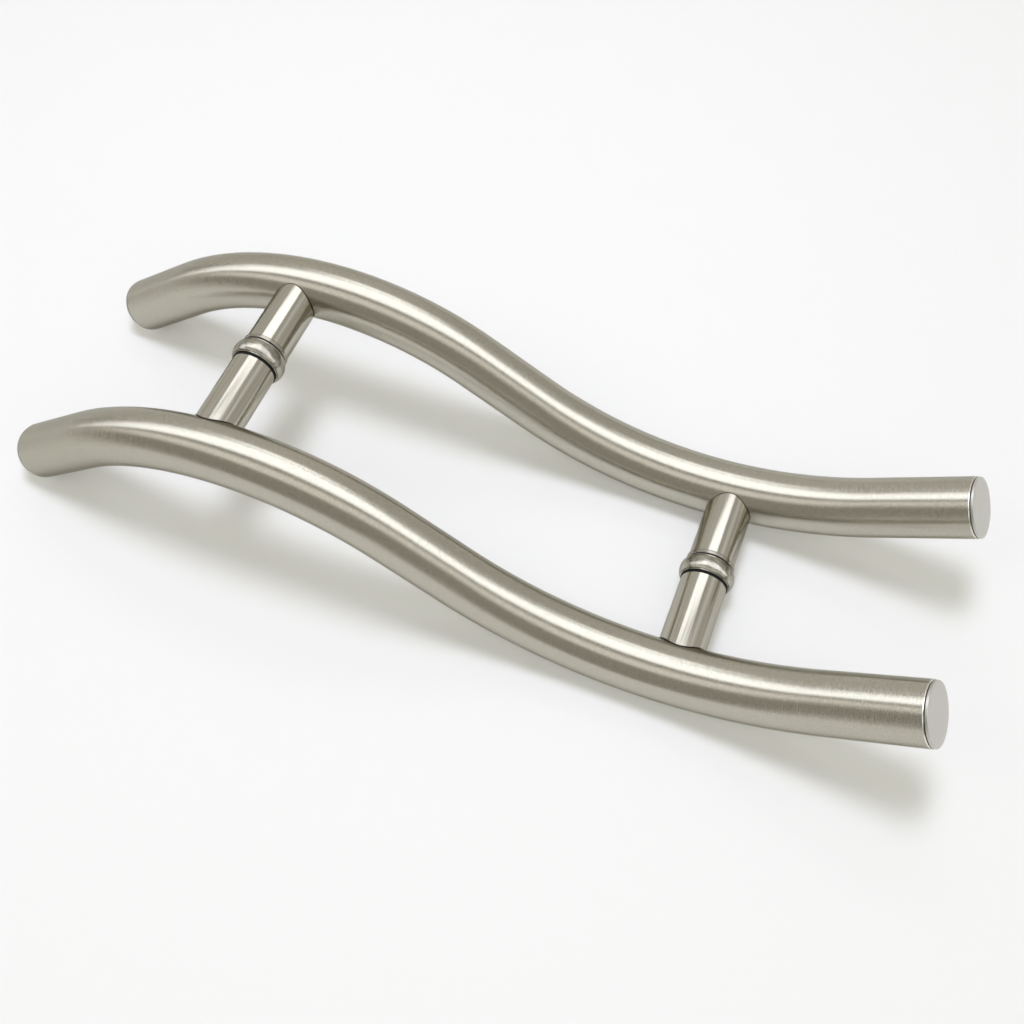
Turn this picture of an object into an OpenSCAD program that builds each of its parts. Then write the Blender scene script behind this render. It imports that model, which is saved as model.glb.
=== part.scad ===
// Back-to-back pair of wave-shaped tube pulls for a glass door, with two round standoffs.
// The pair lies as it comes to rest: on the left ends and on the two troughs.
// X runs along the bars, Y runs through the door from front to rear, Z is up.
// The origin is under the middle of the pair, on the surface it lies on.

/* [Bars] */
// Outside diameter of the bar tube
tube_d = 32; // [28:0.5:38]
// Wall of the bar tube
tube_wall = 1.5; // [1:0.1:2.5]
// Distance between the axes of the front and the rear bar
bar_spacing = 120; // [110:1:160]
// Straight length of tube at the left end
left_straight = 50; // [30:1:90]
// Centreline radius of the bend that makes the crest
crest_bend_r = 165; // [140:1:190]
// Angle of the bend that makes the crest
crest_bend_deg = 68; // [60:0.5:76]
// Straight length of tube between the two bends
middle_straight = 42; // [20:1:60]
// Centreline radius of the bend that makes the trough
trough_bend_r = 190; // [160:1:220]
// Angle of the bend that makes the trough
trough_bend_deg = 60.5; // [52:0.5:68]
// Straight length of tube at the right end
right_straight = 54; // [30:1:90]
// Amount that the straights are drawn in from the skin of the bends
straight_draw = 0.05; // [0.04:0.01:0.1]
// Chamfer on the rim of each tube end
tube_chamfer = 0.6; // [0.2:0.1:1]

/* [End caps] */
// Distance from the skin of the tube in to the edge of the cap's disc
cap_inset = 0.3; // [0:0.1:1]
// Thickness of the cap's disc
cap_t = 1.6; // [1:0.1:3]
// Chamfer on both edges of the cap's disc
cap_chamfer = 0.4; // [0.1:0.1:0.5]
// Length of the skirt that is pressed into the tube
cap_skirt = 8; // [4:0.5:14]
// Wall of the cap's skirt
cap_wall = 1.2; // [0.8:0.1:2]

/* [Posts] */
// Outside diameter of the standoff posts
post_d = 25; // [22:0.5:26]
// Wall of the standoff posts
post_wall = 2; // [1.5:0.1:3]
// Chamfer on the open end of each post
post_chamfer = 0.4; // [0.1:0.1:0.8]
// Reach of the front posts, from the bar's axis to the open end
front_reach = 56; // [45:0.5:64]
// Turn of the crest bend at which the left posts stand
left_post_turn = 30.5; // [24:0.5:40]
// Turn of the trough bend at which the right posts stand
right_post_turn = 37.5; // [28:0.5:44]

/* [Collars and gaskets] */
// Height of the crown of the collar's bead above the posts
collar_crown = 2.5; // [1.8:0.1:4]
// Height of the narrow land at each edge of the collar above the posts
collar_rim = 0.9; // [0.4:0.1:1.2]
// Width of the narrow land at each edge of the collar
collar_land = 0.8; // [0.4:0.1:1.5]
// Step from the land up to the edge of the bead
collar_step = 0.4; // [0.2:0.1:0.6]
// Length of the collar, which is the thickness of pane that takes its place
collar_len = 10; // [8:0.5:12]
// Height of the gaskets' edge above the posts
gasket_rim = 0.3; // [0:0.1:0.4]
// Thickness of the gaskets
gasket_t = 1; // [0.5:0.1:2]

/* [Fixings] */
// Diameter of the through stud
stud_d = 8; // [6:0.5:10]
// Length of stud that is screwed into the front insert
stud_grip_front = 12; // [8:0.5:14]
// Length of stud that is screwed into the fixing barrel
stud_grip_rear = 13; // [8:0.5:16]
// Outside diameter of the sleeve that keeps the stud off the glass
sleeve_d = 12; // [11:0.1:13]
// Length of the threaded insert in each front post
insert_len = 16; // [14:0.5:24]
// Height of the fixing barrel's flange above the posts, seen as a thin ring
barrel_rim = 0.7; // [0.3:0.1:1.2]
// Thickness of the fixing barrel's flange
barrel_flange_t = 2.2; // [1.5:0.1:4]
// Diameter of the fixing barrel's shank
barrel_d = 16; // [14:0.1:17]
// Length of the fixing barrel's shank
barrel_len = 17; // [15:0.5:19]
// Distance from the flange to the groove that takes the grub screw
groove_y = 8; // [6:0.5:9]
// Depth of the groove that takes the grub screw
groove_depth = 1; // [0.5:0.1:1.5]
// Length of the thick bush in each rear post
bush_len = 20; // [19.5:0.5:26]
// Diameter of the grub screws
grub_d = 6; // [4:0.5:6]
// Distance from the outside of the post down to the grub screw's head
grub_recess = 0.5; // [0.2:0.1:1.5]
// Distance across the flats of the grub screw's socket
grub_socket_af = 3; // [2:0.5:3]
// Depth of the grub screw's socket
grub_socket_depth = 2.4; // [1.5:0.1:3]

/* [Fits] */
// Gap between a post's saddle end and the bar it is welded to
saddle_gap = 0.1; // [0:0.05:0.3]
// Radial gap of a piece that is pressed into a tube
press_gap = 0.05; // [0.02:0.01:0.1]
// Radial gap of a screwed thread, drawn plain
thread_gap = 0.05; // [0.02:0.01:0.1]
// Radial gap of a piece that slides into or over another
slide_gap = 0.15; // [0.05:0.05:0.3]

/* [Hidden] */
$fn = 128;
tube_r = tube_d / 2;
tube_bore_r = tube_r - tube_wall;
straight_r = tube_r - straight_draw;
straight_bore_r = tube_bore_r + straight_draw;
cap_r = tube_r - cap_inset;
post_r = post_d / 2;
post_bore_r = post_r - post_wall;
saddle_r = tube_r + saddle_gap;
stud_r = stud_d / 2;
grub_r = grub_d / 2;
// small overlap that carries a cut clear of the face it starts from
cut = 1;
// length by which a straight is let into the wall of the bend beside it
lap = 0.2;

// the line through the first contact of a left cap with the ground, and how the bar climbs from it
contact_run = left_straight + cap_t - cap_chamfer;
bend_sum = crest_bend_r + trough_bend_r;
run_term = contact_run + bend_sum * sin(crest_bend_deg) + middle_straight * cos(crest_bend_deg);
rise_term = cap_r - crest_bend_r + bend_sum * cos(crest_bend_deg)
    - middle_straight * sin(crest_bend_deg);
// headings of the bar's three straights: the first one sets both contacts on the ground
left_heading = atan2(run_term, rise_term)
    - acos((tube_r + trough_bend_r) / norm([run_term, rise_term]));
middle_heading = left_heading - crest_bend_deg;
right_heading = middle_heading + trough_bend_deg;

// points of the centreline in the plane of a bar, as [x, z] from the tube's left end
function ahead(p, heading, run) = p + run * [cos(heading), sin(heading)];
function bent(p, from, to, r) = p + sign(to - from) * r * [sin(to) - sin(from), cos(from) - cos(to)];
p_left = [0, 0];
p_crest_in = ahead(p_left, left_heading, left_straight);
p_crest_out = bent(p_crest_in, left_heading, middle_heading, crest_bend_r);
p_trough_in = ahead(p_crest_out, middle_heading, middle_straight);
p_trough_out = bent(p_trough_in, middle_heading, right_heading, trough_bend_r);
p_right = ahead(p_trough_out, right_heading, right_straight);
left_post_heading = left_heading - left_post_turn;
right_post_heading = middle_heading + right_post_turn;
p_left_post = bent(p_crest_in, left_heading, left_post_heading, crest_bend_r);
p_right_post = bent(p_trough_in, middle_heading, right_post_heading, trough_bend_r);

// the corners that reach furthest left and right, on a tube rim or on a cap's disc
function reach_out(heading) = max(
    straight_r * sin(heading) - tube_chamfer * cos(heading),
    (straight_r - tube_chamfer) * sin(heading),
    cap_r * sin(heading) + (cap_t - cap_chamfer) * cos(heading),
    (cap_r - cap_chamfer) * sin(heading) + cap_t * cos(heading));
x_low = -reach_out(left_heading);
x_high = p_right.x + reach_out(right_heading);
x_shift = -(x_low + x_high) / 2;
z_shift = tube_r - bent(p_trough_in, middle_heading, 0, trough_bend_r).y;

// faces of the standoff stack, from front to rear
y_front_bar = -bar_spacing / 2;
y_rear_bar = bar_spacing / 2;
y_front_post = y_front_bar + front_reach;
y_collar = y_front_post + gasket_t;
y_collar_end = y_collar + collar_len;
y_flange = y_collar_end + gasket_t;
y_rear_post = y_flange + barrel_flange_t;
rear_reach = y_rear_bar - y_rear_post;
stud_len = stud_grip_front + (y_flange - y_front_post) + barrel_flange_t + stud_grip_rear;

// stands at a point of the bar's plane and looks along the bar at that heading
module on_path(p, heading)
    translate([p.x + x_shift, 0, p.y + z_shift]) rotate([0, -heading, 0]) children();

// stands on the axis of a post, at a distance along Y, with Z turned to run towards +Y
module on_post(p, y)
    translate([p.x + x_shift, y, p.y + z_shift]) rotate([-90, 0, 0]) children();

// straight tube along +X, its ends let into the bends beside it, with a chamfer on a free rim
module straight_tube(run, let_in, let_out, chamfer_in, chamfer_out)
    rotate([0, 90, 0]) rotate_extrude() polygon([
        [straight_bore_r, -let_in], [straight_r - chamfer_in, -let_in],
        [straight_r, chamfer_in - let_in], [straight_r, run + let_out - chamfer_out],
        [straight_r - chamfer_out, run + let_out], [straight_bore_r, run + let_out]
    ]);

module bend_profile(bend_r, outer_r, inner_r)
    translate([bend_r, 0]) difference() {
        circle(r = outer_r);
        if (inner_r > 0) circle(r = inner_r);
    }

// bend that starts along +X and turns down into the crest's far side
module crest_bend(outer_r, inner_r)
    on_path(p_crest_in, left_heading) translate([0, 0, -crest_bend_r]) rotate([90, 0, 0])
        rotate([0, 0, 90 - crest_bend_deg]) rotate_extrude(angle = crest_bend_deg)
            bend_profile(crest_bend_r, outer_r, inner_r);

// bend that starts along the middle straight and turns up out of the trough
module trough_bend(outer_r, inner_r)
    on_path(p_trough_in, middle_heading) translate([0, 0, trough_bend_r]) rotate([90, 0, 0])
        rotate([0, 0, -90]) rotate_extrude(angle = trough_bend_deg)
            bend_profile(trough_bend_r, outer_r, inner_r);

module bar(y)
    color([0.70, 0.68, 0.63]) translate([0, y, 0]) {
        on_path(p_left, left_heading) straight_tube(left_straight, 0, lap, tube_chamfer, 0);
        crest_bend(tube_r, tube_bore_r);
        on_path(p_crest_out, middle_heading) straight_tube(middle_straight, lap, lap, 0, 0);
        trough_bend(tube_r, tube_bore_r);
        on_path(p_trough_out, right_heading) straight_tube(right_straight, lap, 0, 0, tube_chamfer);
    }

// pressed cup with a flat disc, its skirt inside the tube and its disc against the tube's rim
module cap_cup() {
    skirt_r = straight_bore_r - press_gap;
    rotate([0, 90, 0]) rotate_extrude() polygon([
        [0, 0], [skirt_r - cap_wall, 0], [skirt_r - cap_wall, -cap_skirt],
        [skirt_r, -cap_skirt], [skirt_r, 0], [cap_r - cap_chamfer, 0], [cap_r, cap_chamfer],
        [cap_r, cap_t - cap_chamfer], [cap_r - cap_chamfer, cap_t], [0, cap_t]
    ]);
}

module left_cap(y)
    color([0.75, 0.74, 0.71]) translate([0, y, 0])
        on_path(p_left, left_heading) rotate([0, 180, 0]) cap_cup();

module right_cap(y)
    color([0.75, 0.74, 0.71]) translate([0, y, 0])
        on_path(p_right, right_heading) cap_cup();

// post tube from the bar's axis to its open end, before its saddle is cut
module post_tube(reach)
    rotate_extrude() polygon([
        [post_bore_r, 0], [post_r, 0], [post_r, reach - post_chamfer],
        [post_r - post_chamfer, reach], [post_bore_r, reach]
    ]);

// post of the front bar, with its saddle end cut by the bend given as its child
module front_post(p)
    color([0.73, 0.71, 0.66]) difference() {
        on_post(p, y_front_bar) post_tube(front_reach);
        translate([0, y_front_bar, 0]) children();
    }

// radial hole or shape on the underside of a rear post, pointing down from the post's axis
module at_grub(p)
    translate([p.x + x_shift, y_rear_post + groove_y, p.y + z_shift])
        rotate([180, 0, 0]) children();

// post of the rear bar, with its saddle end cut by the bend given as its child
module rear_post(p)
    color([0.73, 0.71, 0.66]) difference() {
        on_post(p, y_rear_bar) mirror([0, 0, 1]) post_tube(rear_reach);
        translate([0, y_rear_bar, 0]) children();
        at_grub(p) cylinder(r = grub_r + thread_gap, h = post_r + cut);
    }

// turned collar: a rounded bead between two narrow lands, bored for the sleeve
module collar(p) {
    land_r = post_r + collar_rim;
    edge_r = land_r + collar_step;
    bead_len = collar_len - 2 * collar_land;
    crown_r = post_r + collar_crown;
    rise = crown_r - edge_r;
    arc_r = (bead_len * bead_len / 4 + rise * rise) / (2 * rise);
    bore_r = sleeve_d / 2 + slide_gap;
    color([0.72, 0.70, 0.65]) on_post(p, y_collar) rotate_extrude() {
        translate([bore_r, 0]) square([land_r - bore_r, collar_len]);
        translate([bore_r, collar_land]) square([edge_r - bore_r, bead_len]);
        intersection() {
            translate([crown_r - arc_r, collar_len / 2]) circle(r = arc_r);
            translate([edge_r - collar_step, collar_land]) square([rise + 2 * collar_step, bead_len]);
        }
    }
}

module washer(outer_r, inner_r, t)
    difference() {
        cylinder(r = outer_r, h = t);
        translate([0, 0, -cut]) cylinder(r = inner_r, h = t + 2 * cut);
    }

module gasket(p, y)
    color([0.10, 0.10, 0.10]) on_post(p, y)
        washer(post_r + gasket_rim, sleeve_d / 2 + slide_gap, gasket_t);

// flanged nut on the stud: its shank goes into the rear post and the grub screw grips its groove
module fixing_barrel(p) {
    shank_r = barrel_d / 2;
    tapped_r = stud_r + thread_gap;
    groove_at = barrel_flange_t + groove_y;
    groove_half = grub_r + groove_depth;
    flange_r = post_r + barrel_rim;
    color([0.72, 0.70, 0.65]) on_post(p, y_flange) rotate_extrude() polygon([
        [tapped_r, 0], [flange_r, 0], [flange_r, barrel_flange_t],
        [shank_r, barrel_flange_t], [shank_r, groove_at - groove_half],
        [shank_r - groove_depth, groove_at - grub_r], [shank_r - groove_depth, groove_at + grub_r],
        [shank_r, groove_at + groove_half], [shank_r, barrel_flange_t + barrel_len],
        [tapped_r, barrel_flange_t + barrel_len]
    ]);
}

// threaded plug pressed flush into the open end of a front post
module threaded_insert(p)
    color([0.60, 0.60, 0.60]) on_post(p, y_front_post - insert_len)
        washer(post_bore_r - press_gap, stud_r + thread_gap, insert_len);

module through_stud(p)
    color([0.66, 0.66, 0.68]) on_post(p, y_front_post - stud_grip_front)
        cylinder(r = stud_r, h = stud_len);

module stud_sleeve(p)
    color([0.92, 0.92, 0.90]) on_post(p, y_front_post)
        washer(sleeve_d / 2, stud_r + slide_gap, y_flange - y_front_post);

// thick bush pressed into a rear post, so that the grub screw has enough thread
module post_bush(p)
    color([0.60, 0.60, 0.60]) difference() {
        on_post(p, y_rear_post) washer(post_bore_r - press_gap, barrel_d / 2 + slide_gap, bush_len);
        at_grub(p) cylinder(r = grub_r + thread_gap, h = post_r + cut);
    }

// grub screw with a hexagon socket, its point against the floor of the barrel's groove
module grub_screw(p) {
    point_r = barrel_d / 2 - groove_depth + thread_gap;
    head_r = post_r - grub_recess;
    color([0.20, 0.20, 0.21]) at_grub(p) difference() {
        translate([0, 0, point_r]) cylinder(r = grub_r, h = head_r - point_r);
        translate([0, 0, head_r - grub_socket_depth])
            cylinder(r = grub_socket_af / sqrt(3), h = grub_socket_depth + cut, $fn = 6);
    }
}

bar(y_front_bar);  // front_bar
bar(y_rear_bar);  // rear_bar
left_cap(y_front_bar);  // front_left_cap
right_cap(y_front_bar);  // front_right_cap
left_cap(y_rear_bar);  // rear_left_cap
right_cap(y_rear_bar);  // rear_right_cap
front_post(p_left_post) crest_bend(saddle_r, 0);  // front_left_post
front_post(p_right_post) trough_bend(saddle_r, 0);  // front_right_post
rear_post(p_left_post) crest_bend(saddle_r, 0);  // rear_left_post
rear_post(p_right_post) trough_bend(saddle_r, 0);  // rear_right_post
collar(p_left_post);  // left_collar
collar(p_right_post);  // right_collar
gasket(p_left_post, y_front_post);  // left_front_gasket
gasket(p_right_post, y_front_post);  // right_front_gasket
gasket(p_left_post, y_collar_end);  // left_rear_gasket
gasket(p_right_post, y_collar_end);  // right_rear_gasket
fixing_barrel(p_left_post);  // left_fixing_barrel
fixing_barrel(p_right_post);  // right_fixing_barrel
threaded_insert(p_left_post);  // left_threaded_insert
threaded_insert(p_right_post);  // right_threaded_insert
through_stud(p_left_post);  // left_through_stud
through_stud(p_right_post);  // right_through_stud
stud_sleeve(p_left_post);  // left_stud_sleeve
stud_sleeve(p_right_post);  // right_stud_sleeve
post_bush(p_left_post);  // left_post_bush
post_bush(p_right_post);  // right_post_bush
grub_screw(p_left_post);  // left_grub_screw
grub_screw(p_right_post);  // right_grub_screw
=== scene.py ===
import math

import bmesh
import bpy
from bpy.props import FloatProperty, FloatVectorProperty, IntProperty, PointerProperty
from mathutils import Matrix, Vector


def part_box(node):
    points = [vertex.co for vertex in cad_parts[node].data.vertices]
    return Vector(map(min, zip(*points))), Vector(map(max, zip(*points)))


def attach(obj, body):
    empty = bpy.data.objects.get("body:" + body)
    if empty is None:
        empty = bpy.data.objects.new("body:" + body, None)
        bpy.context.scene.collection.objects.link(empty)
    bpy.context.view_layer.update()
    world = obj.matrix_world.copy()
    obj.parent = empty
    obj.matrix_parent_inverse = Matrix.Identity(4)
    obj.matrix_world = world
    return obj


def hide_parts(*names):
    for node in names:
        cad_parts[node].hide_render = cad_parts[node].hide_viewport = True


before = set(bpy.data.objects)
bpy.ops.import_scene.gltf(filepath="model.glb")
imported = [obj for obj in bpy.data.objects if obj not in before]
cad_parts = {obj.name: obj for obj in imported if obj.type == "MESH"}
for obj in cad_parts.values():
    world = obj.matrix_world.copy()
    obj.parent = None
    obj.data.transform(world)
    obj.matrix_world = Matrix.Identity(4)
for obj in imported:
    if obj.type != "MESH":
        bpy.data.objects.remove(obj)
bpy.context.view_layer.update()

bl_info = {
    "name": "Wave tube pull for a glass door",
    "version": (1, 0, 0),
    "blender": (4, 5, 0),
    "location": "View3D > Sidebar > Pull",
    "description": "Back-to-back pair of wave-shaped steel tube pulls with two round standoffs",
    "category": "Object",
}

# the record's one body, which carries every piece
BODY = "root"
SIDES = ("left", "right")
BARS = ("front", "rear")
# an edge with a larger turn than this between its faces stays crisp
CREASE = math.radians(28)


def node_middle(node):
    """Middle of a CAD node's box."""
    low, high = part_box(node)
    return (low + high) / 2


def node_span(node):
    """Lowest and highest Y of a CAD node."""
    low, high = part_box(node)
    return low.y, high.y


class PullBarSizes(bpy.types.PropertyGroup):
    """Sizes of one bar, which is a tube bent into a crest and a trough."""
    tube_d: FloatProperty(
        name="Tube diameter", description="Outside diameter of the bar tube",
        default=0.032, min=0.01, unit="LENGTH")
    tube_wall: FloatProperty(
        name="Tube wall", description="Wall of the bar tube",
        default=0.0015, min=0.0005, unit="LENGTH")
    left_straight: FloatProperty(
        name="Left straight", description="Straight length at the left end",
        default=0.050, min=0, unit="LENGTH")
    crest_bend_r: FloatProperty(
        name="Crest radius", description="Centreline radius of the bend that makes the crest",
        default=0.165, min=0.05, unit="LENGTH")
    crest_bend: FloatProperty(
        name="Crest angle", description="Angle of the bend that makes the crest",
        default=math.radians(68), unit="ROTATION")
    middle_straight: FloatProperty(
        name="Middle straight", description="Straight length between the two bends",
        default=0.042, min=0, unit="LENGTH")
    trough_bend_r: FloatProperty(
        name="Trough radius", description="Centreline radius of the bend that makes the trough",
        default=0.190, min=0.05, unit="LENGTH")
    trough_bend: FloatProperty(
        name="Trough angle", description="Angle of the bend that makes the trough",
        default=math.radians(60.5), unit="ROTATION")
    right_straight: FloatProperty(
        name="Right straight", description="Straight length at the right end",
        default=0.054, min=0, unit="LENGTH")
    rim_chamfer: FloatProperty(
        name="Rim chamfer", description="Chamfer on the rim of each tube end",
        default=0.0006, min=0, unit="LENGTH")
    left_post_turn: FloatProperty(
        name="Left post turn", description="Turn of the crest bend at which the left posts stand",
        default=math.radians(30.5), unit="ROTATION")
    right_post_turn: FloatProperty(
        name="Right post turn", description="Turn of the trough bend at the right posts",
        default=math.radians(37.5), unit="ROTATION")
    spans: IntProperty(
        name="Spans", description="Mesh spans along the bar", default=236, min=16)
    sides: IntProperty(
        name="Sides", description="Mesh faces round the bar", default=112, min=16)


class PullCapSizes(bpy.types.PropertyGroup):
    """Sizes of the pressed end caps."""
    inset: FloatProperty(
        name="Inset", description="Distance from the tube's skin in to the disc's edge",
        default=0.0003, min=0, unit="LENGTH")
    thickness: FloatProperty(
        name="Disc", description="Thickness of the cap's disc",
        default=0.0016, min=0.0005, unit="LENGTH")
    edge: FloatProperty(
        name="Edge", description="Radius of the disc's rounded outer edge",
        default=0.00025, min=0, unit="LENGTH")
    # the dark seam is painted shade of the gap between the tube's rim and the disc
    seam: FloatProperty(
        name="Seam", description="Height of the dark seam between the tube's rim and the disc",
        default=0.0006, min=0.0001, unit="LENGTH")
    skirt: FloatProperty(
        name="Skirt", description="Length of the skirt inside the tube",
        default=0.008, min=0.001, unit="LENGTH")
    skirt_wall: FloatProperty(
        name="Skirt wall", description="Wall of the skirt",
        default=0.0012, min=0.0005, unit="LENGTH")
    fit: FloatProperty(
        name="Fit", description="Radial gap of the skirt inside the tube",
        default=0.0001, min=0, unit="LENGTH")


class PullPostSizes(bpy.types.PropertyGroup):
    """Sizes of the posts and of the rings between them."""
    post_d: FloatProperty(
        name="Post diameter", description="Outside diameter of the posts",
        default=0.025, min=0.01, unit="LENGTH")
    post_wall: FloatProperty(
        name="Post wall", description="Wall of the posts",
        default=0.002, min=0.0005, unit="LENGTH")
    post_edge: FloatProperty(
        name="Post edge", description="Chamfer on the open end of each post",
        default=0.0004, min=0, unit="LENGTH")
    saddle_gap: FloatProperty(
        name="Saddle gap", description="Gap between a post's saddle end and the bar",
        default=0.0001, min=0, unit="LENGTH")
    # the dark joint line is painted shade of the gap where a post meets its bar
    seam: FloatProperty(
        name="Seam", description="Width of the dark joint line at a post's saddle end",
        default=0.0007, min=0.0001, unit="LENGTH")
    crown: FloatProperty(
        name="Crown", description="Height of the collar's bead above the posts",
        default=0.0025, min=0, unit="LENGTH")
    land: FloatProperty(
        name="Land", description="Width of the narrow land at each edge of the collar",
        default=0.0008, min=0, unit="LENGTH")
    land_rise: FloatProperty(
        name="Land height", description="Height of the collar's lands above the posts",
        default=0.0009, min=0, unit="LENGTH")
    step: FloatProperty(
        name="Step", description="Step from the land up to the edge of the bead",
        default=0.0004, min=0, unit="LENGTH")
    gasket_rise: FloatProperty(
        name="Gasket height", description="Height of the gaskets' edge above the posts",
        default=0.0003, min=0, unit="LENGTH")
    flange_rise: FloatProperty(
        name="Flange height", description="Height of the barrel's flange above the posts",
        default=0.0007, min=0, unit="LENGTH")
    flange_t: FloatProperty(
        name="Flange", description="Thickness of the barrel's flange",
        default=0.0022, min=0.0005, unit="LENGTH")
    barrel_d: FloatProperty(
        name="Barrel diameter", description="Diameter of the barrel's shank",
        default=0.016, min=0.009, unit="LENGTH")
    bore_d: FloatProperty(
        name="Ring bore", description="Bore of the collars and the gaskets",
        default=0.0123, min=0.005, unit="LENGTH")
    stud_bore_d: FloatProperty(
        name="Tapped bore", description="Bore of the fixing barrel",
        default=0.0081, min=0.004, unit="LENGTH")
    sides: IntProperty(
        name="Sides", description="Mesh faces round a turned piece", default=144, min=16)


class PullFinish(bpy.types.PropertyGroup):
    """Colours of the finishes."""
    bar_steel: FloatVectorProperty(
        name="Bar steel", description="Colour of the satin tube", subtype="COLOR",
        size=3, min=0, max=1, default=(0.485, 0.464, 0.396))
    post_steel: FloatVectorProperty(
        name="Post steel", description="Colour of the drawn posts", subtype="COLOR",
        size=3, min=0, max=1, default=(0.495, 0.473, 0.405))
    collar_steel: FloatVectorProperty(
        name="Collar steel", description="Colour of the turned collars", subtype="COLOR",
        size=3, min=0, max=1, default=(0.402, 0.384, 0.330))
    cap_steel: FloatVectorProperty(
        name="Cap steel", description="Colour of the end discs", subtype="COLOR",
        size=3, min=0, max=1, default=(0.568, 0.552, 0.510))
    rubber: FloatVectorProperty(
        name="Rubber", description="Colour of the gaskets", subtype="COLOR",
        size=3, min=0, max=1, default=(0.008, 0.008, 0.008))


class PullStage(bpy.types.PropertyGroup):
    """The view and the floor."""
    azimuth: FloatProperty(
        name="Azimuth", description="Turn of the view, to the right of straight ahead",
        default=math.radians(22.131), unit="ROTATION")
    elevation: FloatProperty(
        name="Elevation", description="Height of the view above level",
        default=math.radians(56.544), unit="ROTATION")
    eye: FloatVectorProperty(
        name="Eye", description="Place of the camera", subtype="TRANSLATION", unit="LENGTH",
        size=3, default=(0.135685, -0.342853, 0.604828))
    lens: FloatProperty(
        name="Lens", description="Focal length in millimetres", default=43.445)
    slide: FloatVectorProperty(
        name="Shift", description="Shift of the lens, in shares of the picture",
        size=2, default=(0.0390625, -0.0390625))
    floor_colour: FloatVectorProperty(
        name="Floor", description="Colour of the floor", subtype="COLOR",
        size=3, min=0, max=1, default=(0.72, 0.72, 0.66))
    floor_lift: FloatProperty(
        name="Floor lift", description="Light added to the floor where it is seen",
        default=0.187, min=0)
    floor_size: FloatProperty(
        name="Floor size", description="Side of the floor", default=14.0, unit="LENGTH")


class Value:
    """A socket of a node tree, so that sums on it are written as plain Python."""

    def __init__(self, tree, socket):
        self.tree = tree
        self.socket = socket

    def __add__(self, other):
        return self.tree.maths("ADD", self, other)

    __radd__ = __add__

    def __sub__(self, other):
        return self.tree.maths("SUBTRACT", self, other)

    def __rsub__(self, other):
        return self.tree.maths("SUBTRACT", other, self)

    def __mul__(self, other):
        return self.tree.maths("MULTIPLY", self, other)

    __rmul__ = __mul__

    def __truediv__(self, other):
        return self.tree.maths("DIVIDE", self, other)

    def __lt__(self, other):
        return self.tree.maths("LESS_THAN", self, other)


class Tree:
    """Adds nodes to a shader or geometry tree."""

    def __init__(self, nodes):
        self.nodes = nodes

    def node(self, kind, settings=None, values=None, out=0):
        """One node: its settings are made first, then its sockets are set or linked. out is
        the name or number of the output that is handed back."""
        made = self.nodes.nodes.new(kind)
        for name, setting in (settings or {}).items():
            setattr(made, name, setting)
        for name, value in (values or {}).items():
            self.feed(made.inputs[name], value)
        return Value(self, made.outputs[out])

    def feed(self, socket, value):
        """Links a value into a socket, or sets the socket to it."""
        if isinstance(value, Value):
            self.nodes.links.new(value.socket, socket)
        else:
            socket.default_value = value

    def maths(self, operation, *values):
        settings = {"operation": operation}
        return self.node("ShaderNodeMath", settings, dict(enumerate(values)))

    def sine(self, angle):
        return self.maths("SINE", angle)

    def cosine(self, angle):
        return self.maths("COSINE", angle)

    def larger(self, a, b):
        return self.maths("MAXIMUM", a, b)

    def smaller(self, a, b):
        return self.maths("MINIMUM", a, b)

    def within(self, value, low, high):
        return self.smaller(self.larger(value, low), high)

    def vector(self, x, y, z):
        return self.node("ShaderNodeCombineXYZ", None, {"X": x, "Y": y, "Z": z})

    def part(self, vector, axis):
        """One of a vector's three numbers."""
        return self.node("ShaderNodeSeparateXYZ", None, {"Vector": vector}, out=axis)

    def stretched(self, vector, scale):
        """Vector with each of its three numbers scaled on its own."""
        values = {0: vector, 1: scale}
        return self.node("ShaderNodeVectorMath", {"operation": "MULTIPLY"}, values)

    def blend(self, factor, a, b):
        """Colour between a and b."""
        settings = {"data_type": "RGBA"}
        return self.node("ShaderNodeMix", settings, {0: factor, 6: a, 7: b}, out=2)

    def noise(self, vector, scale, detail, rough):
        values = {"Vector": vector, "Scale": scale, "Detail": detail, "Roughness": rough}
        return self.node("ShaderNodeTexNoise", None, values)

    def spread(self, value, low, high):
        """Takes the range from low to high to the range from 0 to 1."""
        values = {"Value": value, "From Min": low, "From Max": high}
        return self.node("ShaderNodeMapRange", None, values)

    def bump(self, height, distance, strength):
        values = {"Height": height, "Distance": distance, "Strength": strength}
        return self.node("ShaderNodeBump", None, values)

    def place(self):
        """Coordinates on the piece itself, in metres."""
        return self.node("ShaderNodeTexCoord", out="Object")

    def attribute(self, name, out):
        """What the mesh carries under this name."""
        return self.node("ShaderNodeAttribute", {"attribute_name": name}, out=out)

    def rgb(self, colour, level):
        """Colour made darker or lighter by a level."""
        return (*[min(1.0, c * level) for c in colour], 1.0)


# Path of a bar in its own plane

def bar_path(sizes, heading, turns=None):
    """Point of the centreline as (x, z), from the tube's left end. turns stops it inside a bend:
    (turn of the crest bend, None) or (full crest bend, turn of the trough bend)."""
    crest, trough = turns or (sizes.crest_bend, sizes.trough_bend)
    x = sizes.left_straight * math.cos(heading)
    z = sizes.left_straight * math.sin(heading)
    down = heading - crest
    x += sizes.crest_bend_r * (math.sin(heading) - math.sin(down))
    z += sizes.crest_bend_r * (math.cos(down) - math.cos(heading))
    if trough is None:
        return x, z
    x += sizes.middle_straight * math.cos(down)
    z += sizes.middle_straight * math.sin(down)
    up = down + trough
    x += sizes.trough_bend_r * (math.sin(up) - math.sin(down))
    z += sizes.trough_bend_r * (math.cos(down) - math.cos(up))
    if turns is None:
        x += sizes.right_straight * math.cos(up)
        z += sizes.right_straight * math.sin(up)
    return x, z


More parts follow.
